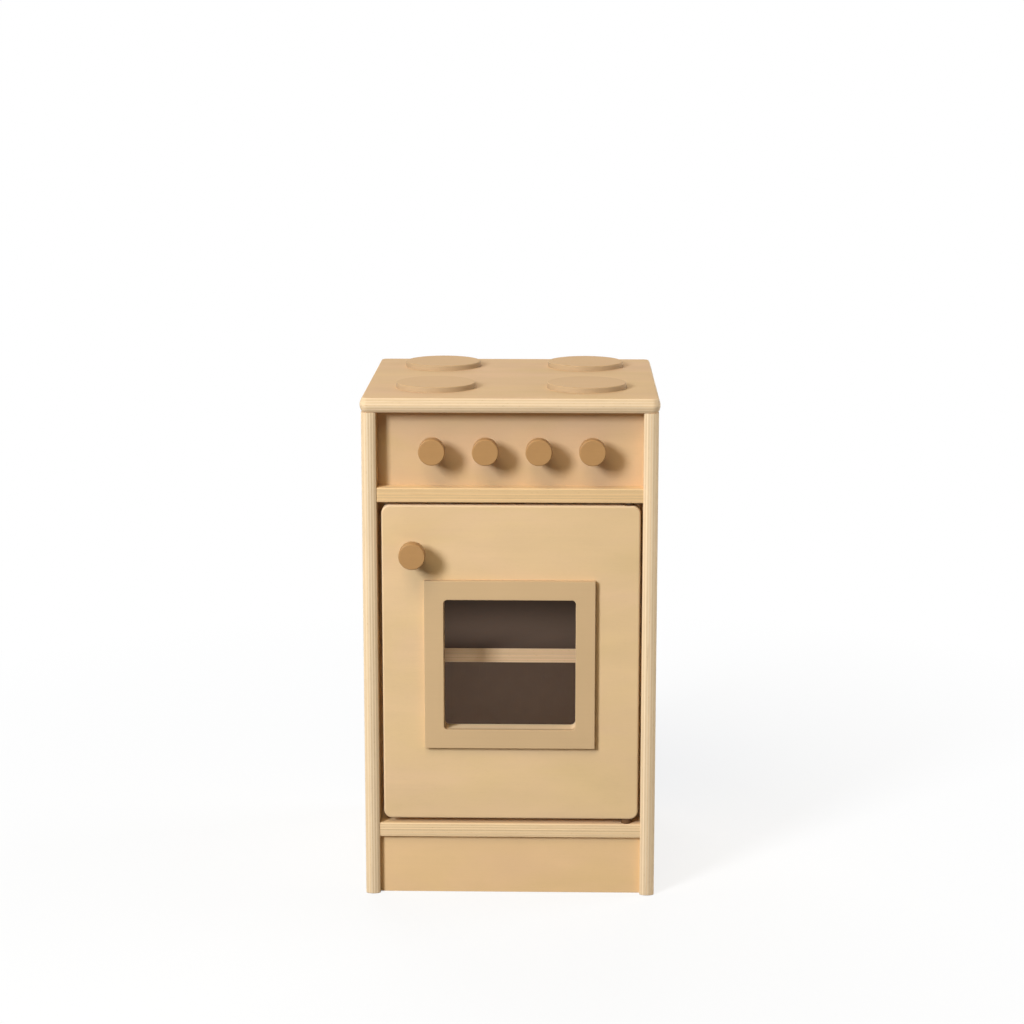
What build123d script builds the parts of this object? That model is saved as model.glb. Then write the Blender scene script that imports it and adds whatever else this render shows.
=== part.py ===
from build123d import *
import os

# Toy oven for a play kitchen, in 15 mm birch plywood: a carcass with a hob on top, a recessed control
# panel with four turning knobs, and a door with an open window that swings on two steel pins at its
# right edge.
#
# Millimetres. The origin is the middle of the bounding box on the floor, +Z is up, the door faces -Y
# and +X is on the right hand of a child standing in front. Depths in the dimensions below are counted
# from the side panels' front edges: adding front_y makes them y.

# Boards
board = 15.0  # plywood thickness, all main boards
nose_radius = 12.0  # side panels' front edges and the hob's edges are sanded to a shallow round
nose_ease = 1.5  # and eased where that meets the board's faces
rail_ease = 1.2
door_ease = 2.0
ease = 1.5  # the side panels' rear edges
foot_ease = 1.0  # the side panels' lower edges

# Carcass
body_width = 300.0  # over the side panels
body_depth = 285.0  # side panels, front edge to back edge
body_height = 524.0  # floor to hob face
top_overhang = 1.5  # top board past the side panels, on every side
top_corner = 8.5  # rounding of the top board's corners seen from above
rail_setback = 3.0  # front edges of middle and bottom boards, and the door, behind the side panels
middle_z = 416.5  # underside of the middle board
bottom_z = 61.7  # underside of the bottom board
control_setback = rail_setback + board  # face of the control panel behind the side panels
kick_setback = 8.0
kick_lift = 0.3  # kick board clear of the floor
shelf_setback = 60.0
shelf_top_z = 249.0
shelf_play = 0.5  # shelf clear of the side panels, each end
back_thickness = 6.5

# Door
hinge_gap = 2.3
latch_gap = 4.4
door_top_gap = 3.0
door_bottom_gap = 5.3
door_corner = 8.6
frame_width = 175.0
frame_height = 177.0
frame_thickness = 5.5
frame_ease = 0.7
window_width = 135.0
window_height = 137.0
frame_window_corner = 4.0
door_window_corner = 5.0
pivot_inset = 12.0  # pivot axis from the door's right edge
pivot_depth = 6.5  # pivot axis behind the door's face

# Knobs
knob_d = 27.0
knob_head_length = 13.5
knob_length = 27.5  # face to seat
knob_neck_d = 15.0
knob_rim = 1.3
knob_spacing = 54.0
knob_row_shift = 2.5  # the row stands a little right of the middle
door_knob_inset = 32.3  # from the door's left edge
door_knob_drop = 47.5  # from the door's top edge

# Burner discs
burner_d = 82.0
burner_thickness = 5.5
burner_ease = 1.0
burner_x = 78.0
burner_front = 76.0  # depths of the disc centres
burner_rear = 230.0

# Dowels
dowel_d = 8.0
dowel_length = 29.0
dowel_bite = 10.0  # depth in the board it enters square
dowel_chamfer = 0.8
dowel_depths = (40.0, 230.0)  # at the ends of the middle and bottom boards
kick_dowel_heights = (18.0, 46.0)
top_dowel_inset = 35.0  # first and last dowel under the top board, from the side panel's edge
short_dowel_length = 11.0
short_dowel_bite = 3.0  # depth in the burner disc
blind_gap = 0.5  # holes are this much deeper than what stands in them
glue_gap = 0.02  # on the radius

# Door fittings
pivot_pin_d = 5.0
pivot_pin_length = 24.0
pivot_pin_bite = 11.0  # depth in the middle or bottom board
pivot_pin_chamfer = 0.5
running_gap = 0.05  # on the radius, between pin and bush, and between running faces
bush_d = 8.0
bush_length = 12.0
bush_flange_d = 11.0
bush_flange = 1.0
stop_width = 30.0
stop_depth = 12.0
stop_height = 20.0
stop_gap = 0.3
stop_ease = 1.0
magnet_d = 8.0
magnet_thickness = 3.0
strike_d = 10.0
strike_thickness = 1.5
strike_screw_length = 12.0
strike_drop = 12.0  # centre of magnet and strike disc, under the middle board

# Knob fittings
felt_thickness = 0.6
felt_d = 17.0
stud_d = 5.0
stud_chamfer = 0.4
stud_bite = 20.0  # depth of the stud in its knob
stud_hole_d = 5.2
washer_d = 12.0
washer_thickness = 1.0
nut_across_flats = 8.0
nut_length = 5.0
stud_stand_out = 1.5  # stud past its nut
door_screw_d = 4.0
door_screw_hole_d = 4.4
door_screw_bite = 16.0
pan_head_d = 8.0
pan_head_height = 2.6
pan_head_ease = 1.0
door_washer_d = 10.0
door_washer_thickness = 0.8

# Wood screws with countersunk heads
wood_screw_d = 3.5
wood_screw_length = 20.0
wood_screw_head_d = 7.0
wood_screw_head_height = 2.2
wood_screw_spacing = 72.0
wood_screw_count = 4  # in each row across the back
recess_length = 3.6
recess_width = 0.9
recess_depth = 1.4

# Shelf pins
shelf_pin_d = 5.0
shelf_pin_bite = 9.0
shelf_pin_reach = 9.0
shelf_pin_nose = 1.5
shelf_pin_depths = (85.0, 245.0)

# Places worked out from the dimensions above
nose_depth = nose_radius - (nose_radius**2 - (board / 2) ** 2) ** 0.5
door_knob_reach = knob_length - rail_setback
front_y = door_knob_reach - (door_knob_reach + body_depth + top_overhang) / 2
inner_x = body_width / 2 - board
under_top_z = body_height - board
middle_top_z = middle_z + board
bottom_top_z = bottom_z + board
rail_y = front_y + rail_setback
control_y = front_y + control_setback
kick_y = front_y + kick_setback
back_y = front_y + body_depth - back_thickness
door_left = -inner_x + latch_gap
door_right = inner_x - hinge_gap
door_low_z = bottom_top_z + door_bottom_gap
door_top_z = middle_z - door_top_gap
door_back_y = rail_y + board
window_z = (door_low_z + door_top_z) / 2
pivot_x = door_right - pivot_inset
pivot_y = rail_y + pivot_depth
control_z = (middle_top_z + under_top_z) / 2
knob_places = [knob_row_shift + knob_spacing * step for step in (-1.5, -0.5, 0.5, 1.5)]
door_knob_x = door_left + door_knob_inset
door_knob_z = door_top_z - door_knob_drop
stop_x = door_left + stop_width
strike_centre = (stop_x, door_back_y, middle_z - strike_drop)
magnet_seat = (stop_x, door_back_y + stop_gap, middle_z - strike_drop)

FROM_BASE = (Align.CENTER, Align.CENTER, Align.MIN)
FORWARD = (0, -1, 0)
BACKWARD = (0, 1, 0)


def slab(x, y, z):
    """A plain board between two corners, each argument a (low, high) pair."""
    spans = (x, y, z)
    middle = [(low + high) / 2 for low, high in spans]
    size = [high - low for low, high in spans]
    return Pos(*middle) * Box(*size)


def board_section(length, noses):
    """Section of a board that runs along x from the origin, with a nose at its first end or at both ends."""
    near, far = nose_depth, length - nose_depth * (noses - 1)
    outline = ThreePointArc((near, board), (0, board / 2), (near, 0)) + Line((near, 0), (far, 0))
    if noses == 2:
        outline += ThreePointArc((far, 0), (length, board / 2), (far, board))
    else:
        outline += Line((far, 0), (far, board))
    section = make_face(outline + Line((far, board), (near, board)))
    return fillet(section.vertices().sort_by(Axis.X)[: 2 * noses], nose_ease)


def rod(start, axis, radius, length):
    """A round rod that runs from start along axis."""
    return Plane(origin=start, z_dir=axis) * Cylinder(radius, length, align=FROM_BASE)


def round_edges(shape, radius):
    """The circular edges of a shape that have this radius."""
    circles = shape.edges().filter_by(GeomType.CIRCLE)
    return circles.filter_by(lambda edge: abs(edge.radius - radius) < radius / 1000)


def group(solids):
    """Like pieces that share one node."""
    return Compound(children=list(solids))


def write(shape, node):
    export_step(shape, f"parts/{node}.step")


# Joinery: every joint is a (point on the joint face, axis into the board that is entered square) pair.


def dowel(joint, axis, length=dowel_length, bite=dowel_bite):
    """A beech dowel across a joint, its ends chamfered."""
    tail = Vector(*joint) - Vector(*axis) * (length - bite)
    peg = rod(tail, axis, dowel_d / 2, length)
    return chamfer(round_edges(peg, dowel_d / 2), dowel_chamfer)


def dowel_hole(joint, axis, length=dowel_length, bite=dowel_bite):
    """The hole for a dowel, in both boards, a little longer than the dowel at each end."""
    tail = Vector(*joint) - Vector(*axis) * (length - bite + blind_gap)
    return rod(tail, axis, dowel_d / 2 + glue_gap, length + 2 * blind_gap)


def drilled(shape, joints):
    for joint, axis in joints:
        shape -= dowel_hole(joint, axis)
    return shape


def end_joints(depths, heights):
    """Joints where a board between the side panels meets both of them."""
    joints = []
    for side in (-1, 1):
        for depth in depths:
            for height in heights:
                joints.append(((side * inner_x, front_y + depth, height), (side, 0, 0)))
    return joints


def cross_recess(place):
    """The two crossed slots of a screwdriver recess, centred on a screw head's face."""
    depth = recess_depth * 2
    return [place * Box(recess_length, recess_width, depth), place * Box(recess_width, recess_length, depth)]


def countersunk(head_centre, axis, length, gap):
    """The outline of a countersunk screw, grown by gap on the radius."""
    cone = Cone(wood_screw_head_d / 2 + gap, wood_screw_d / 2 + gap, wood_screw_head_height, align=FROM_BASE)
    shank = rod(head_centre, axis, wood_screw_d / 2 + gap, length)
    return shank + Plane(origin=head_centre, z_dir=axis) * cone


def wood_screw(head_centre, axis, length):
    """A wood screw driven along axis, its head face at head_centre."""
    return countersunk(head_centre, axis, length, 0) - cross_recess(Plane(origin=head_centre, z_dir=axis))


def wood_screw_hole(head_centre, axis, length):
    return countersunk(head_centre, axis, length + blind_gap, glue_gap)


middle_joints = end_joints(dowel_depths, (middle_z + board / 2,))
bottom_joints = end_joints(dowel_depths, (bottom_z + board / 2,))
kick_joints = end_joints((kick_setback + board / 2,), kick_dowel_heights)
control_joints = end_joints((control_setback + board / 2,), (control_z,))
top_joints = [
    ((side * (inner_x + board / 2), front_y + depth, under_top_z), (0, 0, 1))
    for side in (-1, 1)
    for depth in (top_dowel_inset, body_depth / 2, body_depth - top_dowel_inset)
]
side_joints = middle_joints + bottom_joints + kick_joints + control_joints + top_joints


# Shelf pins stand in the side panels just under the shelf.


def shelf_pin_places(side):
    z = shelf_top_z - board - shelf_pin_d / 2
    return [(side * inner_x, front_y + depth, z) for depth in shelf_pin_depths]


def shelf_pin(place, side):
    start = (place[0] + side * shelf_pin_bite, place[1], place[2])
    pin = rod(start, (-side, 0, 0), shelf_pin_d / 2, shelf_pin_bite + shelf_pin_reach)
    nose = round_edges(pin, shelf_pin_d / 2).sort_by(Axis.X)[0 if side > 0 else -1]
    return fillet(nose, shelf_pin_nose)


def shelf_pin_hole(place, side):
    return rod(place, (side, 0, 0), shelf_pin_d / 2 + glue_gap, shelf_pin_bite)


# Screws that hold the back panel to the back edges of the middle and bottom boards.

screw_places = [
    (wood_screw_spacing * (step - (wood_screw_count - 1) / 2), front_y + body_depth, z)
    for z in (middle_z + board / 2, bottom_z + board / 2)
    for step in range(wood_screw_count)
]


# Carcass


def side_panel(side):
    """A side panel: it stands on the floor and carries the top board."""
    larger_x = max(side * inner_x, side * body_width / 2)
    plan = Plane(origin=(larger_x, front_y, 0), x_dir=BACKWARD, z_dir=(0, 0, 1))
    panel = extrude(plan * board_section(body_depth, 1), under_top_z)
    panel = fillet(panel.edges().filter_by(Axis.Z).sort_by(Axis.Y)[-2:], ease)
    panel = fillet(panel.faces().sort_by(Axis.Z)[0].edges(), foot_ease)
    panel = drilled(panel, [pair for pair in side_joints if pair[0][0] * side > 0])
    for place in shelf_pin_places(side):
        panel -= shelf_pin_hole(place, side)
    return panel


def top_board():
    """The hob, with a nose all the way round: two crossed boards, and a turned disc at each corner."""
    width, depth = body_width + 2 * top_overhang, body_depth + 2 * top_overhang
    right, front = width / 2 - top_corner, front_y - top_overhang + top_corner
    rear = front + depth - 2 * top_corner
    across = Plane(origin=(-width / 2, rear, under_top_z), x_dir=(1, 0, 0), z_dir=FORWARD)
    along = Plane(origin=(-right, front - top_corner, under_top_z), x_dir=BACKWARD, z_dir=(1, 0, 0))
    top = extrude(across * board_section(width, 2), rear - front)
    top += extrude(along * board_section(depth, 2), 2 * right)
    for x in (-right, right):
        for y in (front, rear):
            plane = Plane(origin=(x - top_corner, y, under_top_z), x_dir=(1, 0, 0), z_dir=FORWARD)
            top += revolve(plane * board_section(top_corner, 1), Axis((x, y, 0), (0, 0, 1)))
    top = drilled(top, top_joints)
    for joint in burner_joints():
        top -= dowel_hole(joint, (0, 0, 1), short_dowel_length, short_dowel_bite)
    return top


def cross_board(low_z, joints):
    """A board between the side panels, its front arrises eased, from the rail line to the back panel."""
    cross = slab((-inner_x, inner_x), (rail_y, back_y), (low_z, low_z + board))
    front_rims = cross.faces().sort_by(Axis.Y)[0].edges().filter_by(Axis.X)
    cross = drilled(fillet(front_rims, rail_ease), joints)
    for place in screw_places:
        if low_z < place[2] < low_z + board:
            cross -= wood_screw_hole(place, FORWARD, wood_screw_length)
    return cross


def kick_board():
    kick = slab((-inner_x, inner_x), (kick_y, kick_y + board), (kick_lift, bottom_z))
    return drilled(kick, kick_joints)


def control_panel():
    panel = slab((-inner_x, inner_x), (control_y, control_y + board), (middle_top_z, under_top_z))
    panel = drilled(panel, control_joints)
    for x in knob_places:
        panel -= rod((x, control_y, control_z), BACKWARD, stud_hole_d / 2, board)
    return panel


def inner_shelf():
    reach = inner_x - shelf_play
    depth_span = (front_y + shelf_setback, back_y - shelf_play)
    return slab((-reach, reach), depth_span, (shelf_top_z - board, shelf_top_z))


def back_panel():
    panel = slab((-inner_x, inner_x), (back_y, back_y + back_thickness), (bottom_z, under_top_z))
    for place in screw_places:
        panel -= wood_screw_hole(place, FORWARD, wood_screw_length)
    return panel


# Hob


def burner_places():
    """Name and centre of each disc on the hob."""
    rows = {"front": burner_front, "rear": burner_rear}
    sides = {"left": -burner_x, "right": burner_x}
    return {f"burner_{row}_{side}": (sides[side], front_y + rows[row]) for row in rows for side in sides}


def burner_joints():
    return [(x, y, body_height) for x, y in burner_places().values()]


def burner(x, y):
    """A flat disc with an eased rim, located by one short dowel."""
    disc = rod((x, y, body_height), (0, 0, 1), burner_d / 2, burner_thickness)
    disc = fillet(round_edges(disc, burner_d / 2).sort_by(Axis.Z)[-1], burner_ease)
    return disc - dowel_hole((x, y, body_height), (0, 0, 1), short_dowel_length, short_dowel_bite)


# Door


def window_cutter(corner, y_span):
    """The window's opening as a prism with rounded corners."""
    half_width, half_height = window_width / 2, window_height / 2
    hole = slab((-half_width, half_width), y_span, (window_z - half_height, window_z + half_height))
    return fillet(hole.edges().filter_by(Axis.Y), corner)


def door_panel():
    door = slab((door_left, door_right), (rail_y, door_back_y), (door_low_z, door_top_z))
    door = fillet(door.edges().filter_by(Axis.Y), door_corner)
    rims = door.faces().sort_by(Axis.Y)[0].edges() + door.faces().sort_by(Axis.Y)[-1].edges()
    door = fillet(rims, door_ease)
    door -= window_cutter(door_window_corner, (rail_y, door_back_y))
    for z, axis in ((door_low_z, (0, 0, 1)), (door_top_z, (0, 0, -1))):
        door -= rod((pivot_x, pivot_y, z), axis, bush_d / 2 + glue_gap, bush_length + blind_gap)
    door -= rod((door_knob_x, rail_y, door_knob_z), BACKWARD, door_screw_hole_d / 2, board)
    door -= rod(strike_centre, FORWARD, strike_d / 2 + glue_gap, strike_thickness)
    return door - wood_screw_hole(strike_centre, FORWARD, strike_screw_length)


def window_frame():
    """A flat frame glued on the door's face, square outside, rounded inside."""
    half_width, half_height = frame_width / 2, frame_height / 2
    span = (rail_y - frame_thickness, rail_y)
    frame = slab((-half_width, half_width), span, (window_z - half_height, window_z + half_height))
    frame = fillet(frame.edges().filter_by(Axis.Y), frame_ease)
    frame -= window_cutter(frame_window_corner, span)
    return fillet(frame.faces().sort_by(Axis.Y)[0].edges(), frame_ease)


def knob(bore_d, bore_depth):
    """A turned knob, a straight head on a slimmer neck, seat at the origin and face towards +Z."""
    neck_length = knob_length - knob_head_length
    neck = Cylinder(knob_neck_d / 2, neck_length, align=FROM_BASE)
    head = Pos(0, 0, neck_length) * Cylinder(knob_d / 2, knob_head_length, align=FROM_BASE)
    turned = neck + head
    turned = fillet(round_edges(turned, knob_d / 2), knob_rim)
    return turned - Cylinder(bore_d / 2, bore_depth, align=FROM_BASE)


def at_front(x, y, z):
    """A place on a front face, with its local +Z out towards the child."""
    return Plane(origin=(x, y, z), z_dir=FORWARD)


def ring(outer_d, inner_d, thickness):
    """A washer whose lower face is on the origin."""
    washer = Cylinder(outer_d / 2, thickness, align=FROM_BASE)
    return washer - Cylinder(inner_d / 2, thickness, align=FROM_BASE)


def door_knob_screw():
    """A pan-head machine screw from the back of the door into the knob."""
    head_y = door_back_y + door_washer_thickness
    shank_length = door_washer_thickness + board + door_screw_bite - blind_gap
    place = at_front(door_knob_x, head_y, door_knob_z)
    head = place * Pos(0, 0, -pan_head_height) * Cylinder(pan_head_d / 2, pan_head_height, align=FROM_BASE)
    head = fillet(round_edges(head, pan_head_d / 2).sort_by(Axis.Y)[-1], pan_head_ease)
    shank = place * Cylinder(door_screw_d / 2, shank_length, align=FROM_BASE)
    return head + shank - cross_recess(place * Pos(0, 0, -pan_head_height))


def door_bush(z, into_door):
    """A flanged nylon bush, its flange on the door's edge."""
    place = Plane(origin=(pivot_x, pivot_y, z), z_dir=(0, 0, into_door))
    sleeve = Cylinder(bush_d / 2, bush_length, align=FROM_BASE)
    flange = Pos(0, 0, -bush_flange) * Cylinder(bush_flange_d / 2, bush_flange, align=FROM_BASE)
    bore = Pos(0, 0, -bush_flange) * Cylinder(
        pivot_pin_d / 2 + running_gap, bush_length + bush_flange, align=FROM_BASE
    )
    return place * (sleeve + flange - bore)


def pivot_pin(z, into_door):
    """A steel pin, set in the middle or bottom board and standing out into the door's bush."""
    start = (pivot_x, pivot_y, z - into_door * pivot_pin_bite)
    pin = rod(start, (0, 0, into_door), pivot_pin_d / 2, pivot_pin_length)
    return chamfer(round_edges(pin, pivot_pin_d / 2), pivot_pin_chamfer)


def pivot_hole(z, into_door):
    start = (pivot_x, pivot_y, z - into_door * pivot_pin_bite)
    return rod(start, (0, 0, into_door), pivot_pin_d / 2, pivot_pin_bite)


# Controls


def stud():
    """The threaded stud of a knob, from inside the knob to just past its nut, along +Z into the panel."""
    reach = felt_thickness + board + washer_thickness + running_gap + nut_length + stud_stand_out
    inside = stud_bite - blind_gap
    shank = Pos(0, 0, -inside) * Cylinder(stud_d / 2, inside + reach, align=FROM_BASE)
    return chamfer(round_edges(shank, stud_d / 2), stud_chamfer)


def nut():
    """A lock nut with its seat on the origin."""
    hexagon = extrude(RegularPolygon(nut_across_flats / 2, 6, major_radius=False), nut_length)
    return hexagon - Cylinder(stud_d / 2, nut_length, align=FROM_BASE)


def behind_panel(x, gap):
    """A place behind the control panel, with its local +Z away from the child."""
    return Plane(origin=(x, control_y + board + gap, control_z), z_dir=BACKWARD)


def stop_block():
    """The block under the middle board that the closed door comes up against, bored for its magnet."""
    near_y = magnet_seat[1]
    span = (stop_x - stop_width / 2, stop_x + stop_width / 2)
    block = slab(span, (near_y, near_y + stop_depth), (middle_z - stop_height, middle_z))
    lower_rims = block.faces().sort_by(Axis.Z)[0].edges()
    block = fillet(lower_rims, stop_ease)
    return block - rod(magnet_seat, BACKWARD, magnet_d / 2 + glue_gap, magnet_thickness)


def strike_disc():
    """A steel disc let into the door's back, held by its screw."""
    disc = rod(strike_centre, FORWARD, strike_d / 2, strike_thickness)
    return disc - wood_screw_hole(strike_centre, FORWARD, strike_screw_length)


os.makedirs("parts", exist_ok=True)

middle_board = cross_board(middle_z, middle_joints) - pivot_hole(middle_z, -1)
bottom_board = cross_board(bottom_z, bottom_joints) - pivot_hole(bottom_top_z, 1)

write(side_panel(-1), "side_panel_left")
write(side_panel(1), "side_panel_right")
write(top_board(), "top_board")
write(middle_board, "middle_board")
write(bottom_board, "bottom_board")
write(kick_board(), "kick_board")
write(control_panel(), "control_panel")
write(inner_shelf(), "inner_shelf")
write(back_panel(), "back_panel")
write(group(dowel(joint, axis) for joint, axis in side_joints), "carcass_dowels")
write(
    group(shelf_pin(place, side) for side in (-1, 1) for place in shelf_pin_places(side)),
    "shelf_pins",
)
write(group(wood_screw(place, FORWARD, wood_screw_length) for place in screw_places), "back_screws")

for name, (x, y) in burner_places().items():
    write(burner(x, y), name)
write(
    group(dowel(joint, (0, 0, 1), short_dowel_length, short_dowel_bite) for joint in burner_joints()),
    "burner_dowels",
)

write(door_panel(), "door_panel")
write(window_frame(), "window_frame")
write(at_front(door_knob_x, rail_y, door_knob_z) * knob(door_screw_d, door_screw_bite), "door_knob")
write(door_knob_screw(), "door_knob_screw")
write(
    Plane(origin=(door_knob_x, door_back_y, door_knob_z), z_dir=BACKWARD)
    * ring(door_washer_d, door_screw_hole_d, door_washer_thickness),
    "door_knob_washer",
)
write(group([door_bush(door_low_z, 1), door_bush(door_top_z, -1)]), "door_bushes")
write(group([pivot_pin(bottom_top_z, 1), pivot_pin(middle_z, -1)]), "door_pivot_pins")
thrust_height = door_bottom_gap - bush_flange - running_gap
write(
    Pos(pivot_x, pivot_y, bottom_top_z) * ring(bush_flange_d, pivot_pin_d, thrust_height),
    "door_thrust_washer",
)
write(stop_block(), "door_stop")
write(rod(magnet_seat, BACKWARD, magnet_d / 2, magnet_thickness), "door_stop_magnet")
write(strike_disc(), "strike_disc")
write(wood_screw(strike_centre, FORWARD, strike_screw_length), "strike_screw")

for number, x in enumerate(knob_places, start=1):
    seat_y = control_y - felt_thickness
    write(at_front(x, seat_y, control_z) * knob(stud_d, stud_bite), f"knob_{number}")
    write(Plane(origin=(x, seat_y, control_z), z_dir=BACKWARD) * stud(), f"knob_stud_{number}")
    write(behind_panel(x, washer_thickness + running_gap) * nut(), f"knob_nut_{number}")
felt = ring(felt_d, stud_hole_d, felt_thickness)
write(group(at_front(x, control_y, control_z) * felt for x in knob_places), "knob_felt_washers")
steel_washer = ring(washer_d, stud_hole_d, washer_thickness)
write(group(behind_panel(x, 0) * steel_washer for x in knob_places), "knob_steel_washers")
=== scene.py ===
import math

import bpy
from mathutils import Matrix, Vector


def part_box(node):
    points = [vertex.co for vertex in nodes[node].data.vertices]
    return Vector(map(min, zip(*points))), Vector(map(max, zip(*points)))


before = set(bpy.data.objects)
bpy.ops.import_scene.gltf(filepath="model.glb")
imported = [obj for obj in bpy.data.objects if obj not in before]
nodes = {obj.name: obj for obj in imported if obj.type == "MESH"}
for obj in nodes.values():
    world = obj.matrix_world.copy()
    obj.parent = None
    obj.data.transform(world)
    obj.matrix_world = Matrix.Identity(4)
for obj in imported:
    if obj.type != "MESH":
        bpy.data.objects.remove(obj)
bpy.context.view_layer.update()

# The view: a studio camera with a long lens, 2.4 m in front of the oven and a little to its right, that
# looks down on the hob by about ten degrees.
camera_place = (0.05044, -2.44065, 0.89069)
camera_pitch = math.radians(10.298)
camera_yaw = math.radians(1.194)
camera = bpy.data.cameras.new("studio_camera")
camera.sensor_width = 36.0
camera.lens = 81.97
camera.shift_y = -0.06
camera_object = bpy.data.objects.new("studio_camera", camera)
camera_object.location = camera_place
camera_object.rotation_euler = (math.pi / 2 - camera_pitch, 0, camera_yaw)
bpy.context.scene.collection.objects.link(camera_object)
bpy.context.scene.camera = camera_object
bpy.context.scene.view_settings.view_transform = "Standard"


# The studio: an endless pale floor that fades to white, in white surroundings. It keeps the oven's soft
# shadow, and what it and the room throw back on the oven is weak, so that the shadows stay warm and deep.
class Shade:
    """One output in a node tree. Arithmetic on it adds Math nodes, so a pattern reads as a formula."""

    def __init__(self, tree, made=None, output=0):
        self.tree = tree
        self.made = made
        self.socket = made.outputs[output] if made and made.outputs else None

    def node(self, kind, inputs=None, output=0, **settings):
        """Adds a node of any kind: its settings first, then a value or a link for each socket in inputs."""
        made = self.tree.nodes.new(kind)
        for name, value in settings.items():
            setattr(made, name, value)
        for name, value in (inputs or {}).items():
            if isinstance(value, Shade):
                self.tree.links.new(value.socket, made.inputs[name])
            else:
                made.inputs[name].default_value = value
        return Shade(self.tree, made, output)

    def output(self, name):
        """Another output of the same node."""
        return Shade(self.tree, self.made, name)

    def math(self, operation, *others):
        """A Math node on this number and the others."""
        return self.node("ShaderNodeMath", dict(enumerate((self, *others))), operation=operation)

    def __add__(self, other):
        return self.math("ADD", other)

    def __sub__(self, other):
        return self.math("SUBTRACT", other)

    def __rsub__(self, other):
        return self.node("ShaderNodeMath", {0: other, 1: self}, operation="SUBTRACT")

    def __mul__(self, other):
        return self.math("MULTIPLY", other)

    def __truediv__(self, other):
        return self.math("DIVIDE", other)

    def __mod__(self, other):
        return self.math("FLOORED_MODULO", other)

    def __gt__(self, other):
        return self.math("GREATER_THAN", other)

    __radd__ = __add__
    __rmul__ = __mul__

    def between(self, low, high):
        """0 at low, 1 at high, with a straight line between them and no further."""
        return self.node("ShaderNodeMapRange", {"Value": self, "From Min": low, "From Max": high})

    def swing(self, size):
        """Noise around 0.5 as a swing around 0, with size from end to end."""
        return (self - 0.5) * size

    def axis(self, index):
        """The x, y or z of a vector, as a number."""
        return self.node("ShaderNodeSeparateXYZ", {0: self}, index)

    def facing(self, index):
        """Of a normal: 1 where the surface looks along that axis, either way, 0 where it lies along it."""
        return self.axis(index) * self.axis(index)

    def length(self):
        """The length of a vector, as a number."""
        return self.node("ShaderNodeVectorMath", {0: self}, "Value", operation="LENGTH")

    def vector(self, *values):
        """Three numbers as one vector."""
        return self.node("ShaderNodeCombineXYZ", dict(enumerate(values)))

    def scaled(self, factor):
        """A colour or a vector times a number."""
        return self.node("ShaderNodeVectorMath", {0: self, "Scale": factor}, operation="SCALE")

    def stretched(self, *factors):
        """A vector with its x, y and z each times a number of its own."""
        return self.node("ShaderNodeVectorMath", {0: self, 1: factors}, operation="MULTIPLY")

    def noise(self, detail=2.0, roughness=0.5, distortion=0.0):
        """Smooth noise around 0.5 at this place, with about one wave to each unit of it."""
        inputs = {"Vector": self, "Scale": 1.0, "Detail": detail, "Roughness": roughness}
        return self.node("ShaderNodeTexNoise", inputs | {"Distortion": distortion})

    def mix(self, first, second):
        """Colour first where this number is 0, and colour second where it is 1."""
        colours = [c if isinstance(c, Shade) else (*c, 1.0) for c in (first, second)]
        return self.node("ShaderNodeMix", {0: self, 6: colours[0], 7: colours[1]}, 2, data_type="RGBA")

    def shades_of(self, colour, share):
        """A colour, darker by a share of itself where this number is 0, and lighter by it where it is 1."""
        return self.mix([c * (1 - share) for c in colour], [c * (1 + share) for c in colour])

    def bump(self, depth):
        """The surface's normal, with this height in it: 1 stands depth metres above 0."""
        return self.node("ShaderNodeBump", {"Height": self, "Strength": 1.0, "Distance": depth})


def seen_directly(start):
    """1 for rays from the camera and for rays that mirror or pass through, 0 for rays that carry light."""
    rays = start.node("ShaderNodeLightPath")
    seen = rays.output("Is Camera Ray") + rays.output("Is Glossy Ray") + rays.output("Is Transmission Ray")
    return seen.math("MINIMUM", 1.0)


floor_reach = 30.0
floor_colour = (0.92, 0.915, 0.905)
floor_bounce = (0.296, 0.262, 0.216)  # its colour for the light that it throws back
near_white = 0.8  # how white the floor is lifted close to the oven
fade_start, fade_end = 0.35, 1.1  # it fades to pure white between these distances from the oven
pure_white = (1.0, 1.0, 1.0, 1.0)
corners = [(x * floor_reach, y * floor_reach, 0.0) for x, y in ((-1, -1), (1, -1), (1, 1), (-1, 1))]
floor_mesh = bpy.data.meshes.new("studio_floor")
floor_mesh.from_pydata(corners, [], [(0, 1, 2, 3)])
floor = bpy.data.objects.new("studio_floor", floor_mesh)
bpy.context.scene.collection.objects.link(floor)

floor_material = bpy.data.materials.new("pale_floor")
floor_material.use_nodes = True
floor_material.node_tree.nodes.clear()
start = Shade(floor_material.node_tree)
seen = seen_directly(start)
matt = start.node("ShaderNodeBsdfDiffuse", {"Color": seen.mix(floor_bounce, floor_colour)})
white = start.node("ShaderNodeEmission", {"Color": pure_white, "Strength": 1.0})
distance = start.node("ShaderNodeTexCoord").output("Object").length()
whiteness = near_white + distance.between(fade_start, fade_end) * (1 - near_white)
surface = start.node("ShaderNodeMixShader", {0: seen * whiteness, 1: matt, 2: white})
start.node("ShaderNodeOutputMaterial", {"Surface": surface})
floor_mesh.materials.append(floor_material)

room_colour = (1.0, 0.96, 0.89, 1.0)
room_strength = 0.02
world = bpy.data.worlds.new("pale_room")
bpy.context.scene.world = world
world.use_nodes = True
world.node_tree.nodes.clear()
start = Shade(world.node_tree)
glow = start.node("ShaderNodeBackground", {"Color": room_colour, "Strength": room_strength})
white = start.node("ShaderNodeBackground", {"Color": pure_white, "Strength": 1.0})
surroundings = start.node("ShaderNodeMixShader", {0: seen_directly(start), 1: glow, 2: white})
start.node("ShaderNodeOutputWorld", {"Surface": surroundings})


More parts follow.
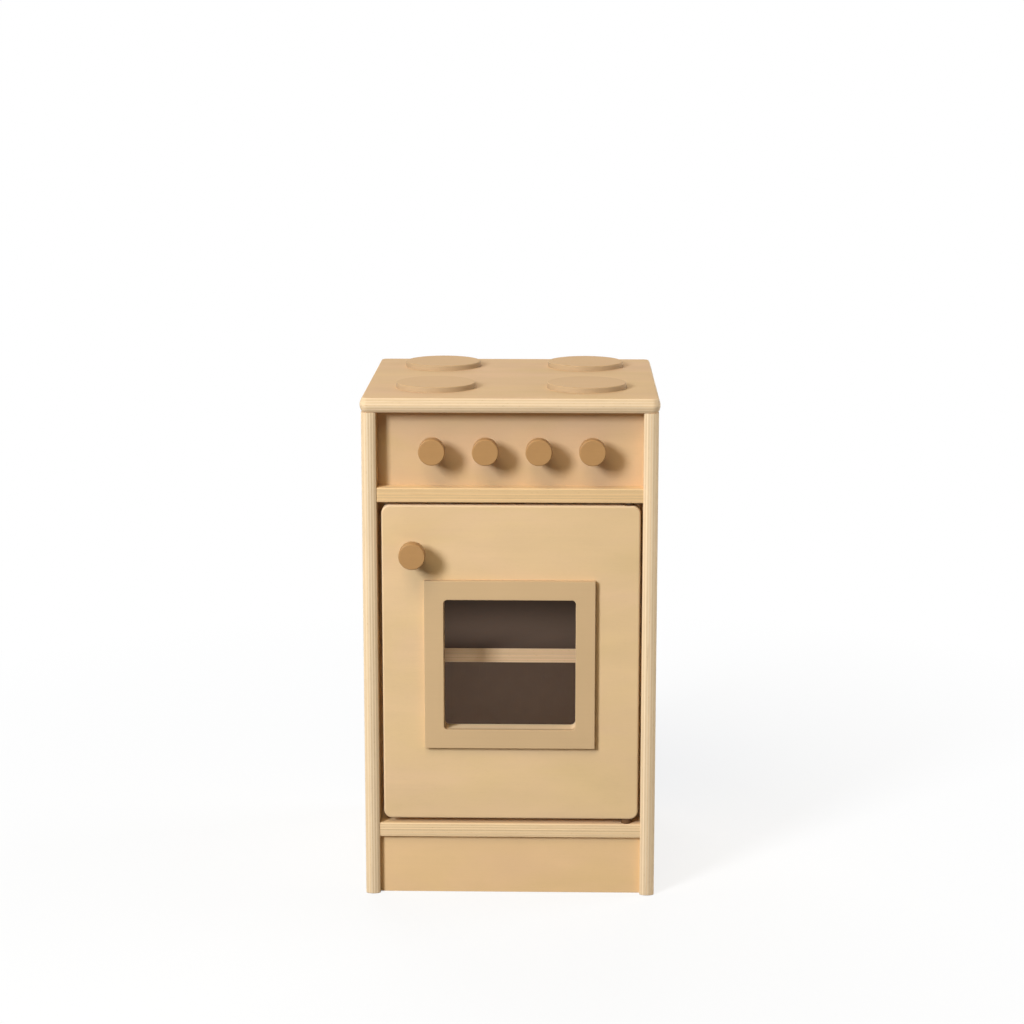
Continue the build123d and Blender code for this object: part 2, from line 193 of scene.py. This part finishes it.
# The lamps: a cool key lamp high on the left in front and a warm soft lamp above the camera, near white
# together. Weaker ones above, behind and on the right light the hob and the other sides. Two small ones in
# the oven lift its dark inside, and a very small one close behind the door lifts the shelf's front edge.
oven_middle = (0.0, -0.13, 0.30)
daylight = (0.854, 0.915, 1.0)
warm_white = (1.0, 0.874, 0.641)


def lamp(name, place, size, power, aim=oven_middle, colour=daylight, spread=180):
    """A rectangular soft box at place that shines towards aim, in a cone of spread degrees.

    The camera doesn't see it, and only the key lamp is mirrored in the lacquer.
    """
    light = bpy.data.lights.new(name, "AREA")
    light.shape = "RECTANGLE"
    light.size, light.size_y = size
    light.energy = power
    light.color = colour
    light.spread = math.radians(spread)
    holder = bpy.data.objects.new(name, light)
    holder.visible_glossy = name == "key_lamp"
    holder.visible_camera = False
    holder.location = place
    holder.rotation_euler = (Vector(aim) - Vector(place)).to_track_quat("-Z", "Y").to_euler()
    bpy.context.scene.collection.objects.link(holder)


lamp("key_lamp", (-2.35, -3.1, 2.05), size=(0.9, 1.3), power=173.0)
lamp("soft_lamp", (-0.9, -2.3, 3.5), size=(2.1, 1.8), power=62.8, colour=warm_white)
lamp("overhead_lamp", (-0.3, 0.3, 2.6), size=(2.0, 1.6), power=3.2)
lamp("rear_lamp", (-0.4, 2.0, 1.9), size=(1.8, 1.2), power=26.0)
lamp("side_lamp", (2.4, 0.6, 0.6), size=(1.2, 1.2), power=47.4)

shelf_top = (0.0, 0.06, 0.25)  # what each of the small lamps is aimed at
lower_back = (0.0, 0.144, 0.12)
shelf_edge = (-0.05, -0.10, 0.236)
lamp("upper_oven_lamp", (0.0, -0.07, 0.405), (0.22, 0.03), power=0.184, aim=shelf_top, spread=100)
lamp("lower_oven_lamp", (0.0, -0.07, 0.222), (0.22, 0.02), power=0.184, aim=lower_back, spread=100)
lamp("shelf_lamp", (-0.05, -0.110, 0.236), (0.034, 0.02), power=0.00142, aim=shelf_edge, spread=90)


# Side panels: birch plywood, eleven plies to the 15 mm, cut upright so that the face grain stands. Their
# front edges are sanded round, which lays the plies bare as fine lines, and wiped with clear matt lacquer.
matt_shine = 0.03  # how strongly the lacquer mirrors


def new_finish(name):
    """An empty material, and the place and the normal on the object that its patterns are made from."""
    material = bpy.data.materials.new(name)
    material.use_nodes = True
    material.node_tree.nodes.clear()
    coordinates = Shade(material.node_tree).node("ShaderNodeTexCoord")
    return material, coordinates.output("Object"), coordinates.output("Normal")


def dress(names, material, inputs):
    """Gives a finish its surface shader, with these inputs, and puts it on the named nodes."""
    start = Shade(material.node_tree)
    shader = start.node("ShaderNodeBsdfPrincipled", {"Specular IOR Level": matt_shine} | inputs)
    start.node("ShaderNodeOutputMaterial", {"Surface": shader})
    for name in names:
        for slot in nodes[name].material_slots:
            slot.material = material


plies_of_15 = 11
birch_face = (0.76, 0.538, 0.298)
birch_edge = (0.82, 0.555, 0.282)
# Paler ply edges for the side panels' rounded fronts, lifted further as a painted highlight.
pale_edge_and_highlight = (0.89, 0.70, 0.475)
birch_end = (0.72, 0.50, 0.27)
vein_brown = (0.49, 0.28, 0.12)
glue_line = (0.44, 0.27, 0.136)
straw_tint = (0.995, 1.0, 0.95)
rose_tint = (1.015, 0.992, 1.05)

# How far end grain, veins and glue lines go towards the colours of their own.
end_share, vein_share, glue_share = 0.6, 0.5, 0.28

# The waves of each pattern in a metre, along the grain and across it.
figure_waves = (6.0, 26.0)
streak_waves = (9.0, 620.0)
pore_waves = (190.0, 2600.0)
vein_waves = (16.0, 240.0)
cloud_waves = (7.0, 16.0)
blush_waves = (5.0, 13.0)
scuff_waves = (40.0, 900.0)

# How much lighter or darker each pattern makes the wood, from end to end.
broad_contrast = 0.13  # the figure and the clouds
face_contrast, edge_contrast = 0.025, 0.11  # the streaks
pore_contrast = 0.03
ply_contrast = 0.16

bare_roughness, film_roughness = 0.6, 0.42
wood_relief = 0.00006  # the height of the surface's pattern, in metres
ply_waves, ply_waviness = 9.0, 0.3  # in a metre, and in plies from end to end
ply_shift = 7.3  # how far each ply's pattern is moved from its neighbour's


def plywood(name, thick, grain, plies=plies_of_15, face=birch_face, edge_colour=birch_edge, film=None):
    """Plywood, with its thickness and its face grain along the axes thick and grain.

    A point's depth is counted in plies from the lower face, with a slight waviness. Odd plies lie
    crosswise. Each ply has streaks along its own grain, and shows end grain in the share by which the
    surface looks along that grain. On the edges thin glue lines part the plies, and a few brown veins show.
    A film, where there is one, is mottled and faintly scuffed, and covers the two faces.
    """
    material, place, normal = new_finish(name + "_finish")
    side = 3 - thick - grain
    low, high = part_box(name)
    ply = (high[thick] - low[thick]) / plies
    seed = 10 * (low[0] + 2 * low[1] + 3 * low[2])  # so that no two boards are alike
    along, across, through = place.axis(grain), place.axis(side), place.axis(thick)
    depth = (through - low[thick]) / ply + place.scaled(ply_waves).noise().swing(ply_waviness)
    number = depth.math("FLOOR").math("MAXIMUM", 0.0).math("MINIMUM", plies - 1.0)
    layer = number * ply_shift + seed
    crossed = number % 2.0
    run = along + (across - along) * crossed
    over = across + (along - across) * crossed
    edge = 1 - normal.facing(thick)
    end_grain = normal.facing(grain) * (1 - crossed) + normal.facing(side) * crossed

    def in_ply(waves, layer_depth):
        """The place along and across the grain of its own ply, counted in waves."""
        return place.vector(run * waves[0], over * waves[1], layer_depth)

    figure = in_ply(figure_waves, layer).noise(3.0, 0.5, 1.0)
    streaks = in_ply(streak_waves, depth * 3.0 + layer).noise(2.0, 0.6)
    pores = in_ply(pore_waves, depth * 6.0 + layer).noise(1.0).between(0.60, 0.72)
    veins = in_ply(vein_waves, layer + depth).noise(3.0, 0.6).between(0.60, 0.76) * edge
    seam = (depth % 1.0 - 0.5).math("ABSOLUTE").between(0.40, 0.47) * edge
    tone = place.node("ShaderNodeTexWhiteNoise", {"W": layer}, noise_dimensions="1D") - 0.5
    cloud_run = along * cloud_waves[0] + seed
    cloud = place.vector(cloud_run, across * cloud_waves[1], through * cloud_waves[1]).noise(3.0, 0.6, 0.5)
    blush_over = across * blush_waves[1] + seed
    blush = place.vector(along * blush_waves[0], blush_over, depth * 0.1).noise(3.0, 0.6, 0.6)

    streak_contrast = face_contrast + edge * (edge_contrast - face_contrast)
    shade = 1 + figure.swing(broad_contrast) + cloud.swing(broad_contrast) + streaks.swing(streak_contrast)
    shade = shade - pores * pore_contrast + tone * edge * ply_contrast
    straw, rose = ([c * t for c, t in zip(face, tint)] for tint in (straw_tint, rose_tint))
    colour = edge.mix(blush.between(0.33, 0.67).mix(straw, rose), edge_colour)
    colour = (end_grain * end_share).mix(colour, birch_end)
    colour = (veins * vein_share).mix(colour, vein_brown)
    colour = (seam * glue_share).mix(colour, glue_line).scaled(shade)
    rough = bare_roughness + streaks.swing(0.15) + end_grain * 0.12
    height = streaks * (0.35 + edge * 0.65) - pores * 0.6 - seam * 0.8 + end_grain * 0.3
    if film:
        faced = normal.facing(thick) > 0.5
        mottle = place.scaled(60.0).noise(3.0)
        scuffed = place.vector(along * scuff_waves[0], across * scuff_waves[1], through)
        scuffs = scuffed.noise(2.0).between(0.62, 0.8)
        colour = faced.mix(colour, mottle.shades_of(film, 0.08).scaled(1 + scuffs * 0.12))
        rough = rough + faced * (film_roughness + mottle * 0.12 + scuffs * 0.1 - rough)
        height = height + faced * (mottle * 0.4 - height)
    dress([name], material, {"Base Color": colour, "Roughness": rough, "Normal": height.bump(wood_relief)})


for name in ("side_panel_left", "side_panel_right"):
    # Their edge colour is partly the paler plies and partly painted highlight.
    plywood(name, thick=0, grain=2, edge_colour=pale_edge_and_highlight)


# Middle and bottom boards: the same plywood laid flat between the side panels. They are the floor of the
# knob compartment and of the oven, and their front edges are the rails above and below the door.
plywood("middle_board", thick=2, grain=0)
plywood("bottom_board", thick=2, grain=0, edge_colour=(0.89, 0.655, 0.392))


# Kick board and control panel: plywood set upright between the side panels, the kick board a little behind
# the rails, and the control panel a board's thickness behind them so that the knobs stand in a recess.
plywood("kick_board", thick=1, grain=0, face=(0.79, 0.54, 0.282))
# The control panel's face colour is darker than the other boards': painted shade for its recess under the
# hob.
plywood("control_panel", thick=1, grain=0, face=(0.66, 0.45, 0.246))


# Top board: the hob, plywood with its grain from side to side, rounded at the corners and all along its
# edges, and set on the side panels with hidden dowels.
plywood("top_board", thick=2, grain=0, face=(0.711, 0.481, 0.269), edge_colour=(0.849, 0.65, 0.429))


# Shelf and back panel: plywood faced with a smooth brown film on both sides, so dark that it is painted shade
# for the dim inside of the oven. The film stops at the edges, where the bare plies of the shelf show as a
# pale strip. The shelf lies on pins, and the back is screwed on.
# The film's very dark brown is painted shade for the inside of the oven.
film_brown_painted_shade = (0.0908, 0.0596, 0.0409)
# The shelf's edge colour is set to how lit its bare plies look inside the oven: painted light and shade.
plywood("inner_shelf", thick=2, grain=0, edge_colour=(0.711, 0.492, 0.3), film=film_brown_painted_shade)
plywood("back_panel", thick=1, grain=2, plies=5, film=film_brown_painted_shade)


# Dowels and shelf pins: turned birch. The dowels are glued into the boards and under the burners. Only the
# pins, which stand in the side panels under the shelf, show, with end grain on their tips.
peg_waves = (30.0, 900.0)  # the waves of the streaks in a metre, along the grain and across it


def turned_birch(name, axis):
    """Straight fine streaks along the axis, and rings of end grain where the surface looks along it."""
    material, place, normal = new_finish(name + "_finish")
    across = [place.axis(i) * peg_waves[1] for i in range(3) if i != axis]
    streaks = place.vector(place.axis(axis) * peg_waves[0], *across).noise(3.0, 0.6)
    end_grain = normal.facing(axis)
    colour = end_grain.mix(birch_face, birch_end).scaled(1 + streaks.swing(0.25))
    inputs = {"Base Color": colour, "Roughness": 0.5 + end_grain * 0.15, "Normal": streaks.bump(0.00005)}
    dress([name], material, inputs)


turned_birch("carcass_dowels", 0)
turned_birch("burner_dowels", 2)
turned_birch("shelf_pins", 0)


# Steel: the screws in the back and the door, the door's strike, and the control knobs' studs and washers are
# bright zinc-plated, with fine turning marks and the faint yellow of the plating. The door's pins, set in
# the middle and bottom boards, get a near-black colour: painted shade that keeps them dark in the door's gap.
zinc = (0.56, 0.57, 0.58)
zinc_yellow = (0.62, 0.58, 0.50)
pin_dark_painted_shade = (0.10, 0.085, 0.065)
pin_dark_painted_shade_tint = (0.14, 0.11, 0.08)


def steel(names, colour=zinc, tint=zinc_yellow):
    """Bare metal, clouded between its colour and its tint, with fine turning marks all over."""
    material, place, _ = new_finish(names[0] + "_finish")
    cloud = place.scaled(260.0).noise(3.0)
    marks = place.scaled(5200.0).noise(2.0)
    inputs = {
        "Base Color": cloud.between(0.35, 0.7).mix(colour, tint).scaled(0.94 + marks * 0.12),
        "Metallic": 1.0,
        "Roughness": 0.28 + cloud * 0.14 + marks * 0.06,
        "Normal": marks.bump(0.00001),
    }
    dress(names, material, inputs)


steel(["back_screws"])
# The pins' near-black colour is painted shade for the door's gap.
steel(["door_pivot_pins"], pin_dark_painted_shade, pin_dark_painted_shade_tint)
steel(["strike_disc", "strike_screw", "door_knob_screw", "door_knob_washer"])
steel(["knob_stud_1", "knob_stud_2", "knob_stud_3", "knob_stud_4", "knob_steel_washers"])


# Burners: four turned discs sprayed with satin beige lacquer, glued down on hidden dowels. The wood
# telegraphs through the lacquer as no more than a breath of grain, and their rims get a darker, greyer
# colour: painted shade on their sides.
satin_shine = 0.06


def lacquered(names, name, axis, face, rim):
    """Sprayed lacquer, with the colour face where the surface looks along the axis, and rim elsewhere.

    It is cloudy by a few parts in a hundred, with fine orange peel and a few soft grain lines.
    """
    material, place, normal = new_finish(name)
    cloud = place.scaled(14.0).noise(3.0)
    peel = place.scaled(900.0).noise(2.0)
    grain = place.stretched(9.0, 420.0, 420.0).noise(2.0)
    rimmed = 1 - normal.facing(axis)
    inputs = {
        "Base Color": rimmed.mix(face, rim).scaled(0.94 + cloud * 0.08 + grain * 0.04),
        "Roughness": 0.40 + peel * 0.12,
        "Specular IOR Level": satin_shine,
        "Normal": (peel + grain * 0.8).bump(0.00003),
    }
    dress(names, material, inputs)


burners = ["burner_front_left", "burner_front_right", "burner_rear_left", "burner_rear_right"]
# The rim colour, darker and greyer than the face, is painted shade on the burners' sides.
lacquered(burners, "burner_lacquer", 2, face=(0.622, 0.388, 0.184), rim=(0.503, 0.352, 0.204))


# Door panel: plywood with its grain from side to side, a square window sawn out of it, rounded corners
# and softened rims, in the same clear matt lacquer as the carcass.
plywood("door_panel", thick=1, grain=0, edge_colour=(0.835, 0.655, 0.45))


# Window frame: a thin flat frame of birch, glued on the door's face round the window and sprayed with the
# burners' beige lacquer.
lacquered(["window_frame"], "frame_lacquer", 1, face=(0.628, 0.432, 0.236), rim=(0.592, 0.406, 0.232))


# Door knob and control knobs: turned beech in satin caramel lacquer. The lathe has left faint rings on
# their round faces, and a clear coat gives their rims a soft line of light.
knob_caramel = (0.447, 0.243, 0.0945)
knob_shine = 0.12
rings_in_a_metre = 2400.0


def turned_knob(name, material_name):
    """Rings round the knob's own centre on its face, and a little grain from the wood below."""
    material, place, _ = new_finish(material_name)
    low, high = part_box(name)
    centre = [(a + b) / 2 for a, b in zip(low, high)]
    offset = place.node("ShaderNodeVectorMath", {0: place, 1: centre}, operation="SUBTRACT")
    radius = offset.vector(offset.axis(0), 0.0, offset.axis(2)).length()
    rings = place.vector(radius * rings_in_a_metre, 0.0, 0.0).noise(2.0, 0.6)
    cloud = place.scaled(70.0).noise(3.0)
    grain = place.stretched(60.0, 60.0, 900.0).noise(2.0)
    inputs = {
        "Base Color": cloud.shades_of(knob_caramel, 0.05).scaled(0.95 + grain * 0.07 + rings * 0.03),
        "Roughness": 0.40 + cloud.swing(0.12),
        "Specular IOR Level": knob_shine,
        "Coat Weight": 0.1,
        "Coat Roughness": 0.3,
        "Normal": (rings * 0.6 + grain * 0.5).bump(0.00004),
    }
    dress([name], material, inputs)


turned_knob("door_knob", "door_knob_lacquer")
for number in range(1, 5):
    turned_knob(f"knob_{number}", f"knob_{number}_lacquer")


# Bushes and thrust washer: moulded brown nylon. The flanged bushes are set into the door's upper and lower
# edges, round the pins, and the washer carries the door on the bottom board. Their brown is taken very dark,
# painted shade so that they sink into the shaded gap round the door.
# These browns are darker than the nylon itself: painted shade for the gap.
nylon_painted_shade_dark = (0.118, 0.056, 0.0208)
nylon_painted_shade_light = (0.153, 0.0722, 0.0272)
material, place, _ = new_finish("brown_nylon")
cloud = place.scaled(300.0).noise(3.0)
grain = place.scaled(2500.0).noise(1.0)
nylon = {
    "Base Color": cloud.mix(nylon_painted_shade_dark, nylon_painted_shade_light),
    "Roughness": 0.38 + grain * 0.12,
    "Specular IOR Level": 0.25,
    "Normal": grain.bump(0.00001),
}
dress(["door_bushes", "door_thrust_washer"], material, nylon)


# Lock nuts: plated steel, one on each control knob's stud behind the panel, run up to its washer so that
# the knob turns and stays on.
steel([f"knob_nut_{number}" for number in range(1, 5)])


# Felt washers: pressed wool, one between each control knob and the panel, whose drag keeps the knob where
# it is turned.
felt_dark = (0.415, 0.28, 0.152)
felt_light = (0.592, 0.415, 0.24)
material, place, _ = new_finish("pressed_felt")
fibres = place.scaled(2600.0).noise(4.0, 0.7, 2.0)
felt = {
    "Base Color": fibres.mix(felt_dark, felt_light),
    "Roughness": 0.92 + fibres * 0.06,
    "Normal": fibres.bump(0.0002),
}
dress(["knob_felt_washers"], material, felt)


# Door stop and magnet: a block of birch plywood glued under the middle board, which the closed door comes up
# against, and a nickel-plated magnet sunk in the block's front that holds the steel strike on the door.
nickel = (0.62, 0.60, 0.56)
nickel_yellow = (0.66, 0.62, 0.55)
plywood("door_stop", thick=1, grain=2, plies=9)
steel(["door_stop_magnet"], nickel, nickel_yellow)
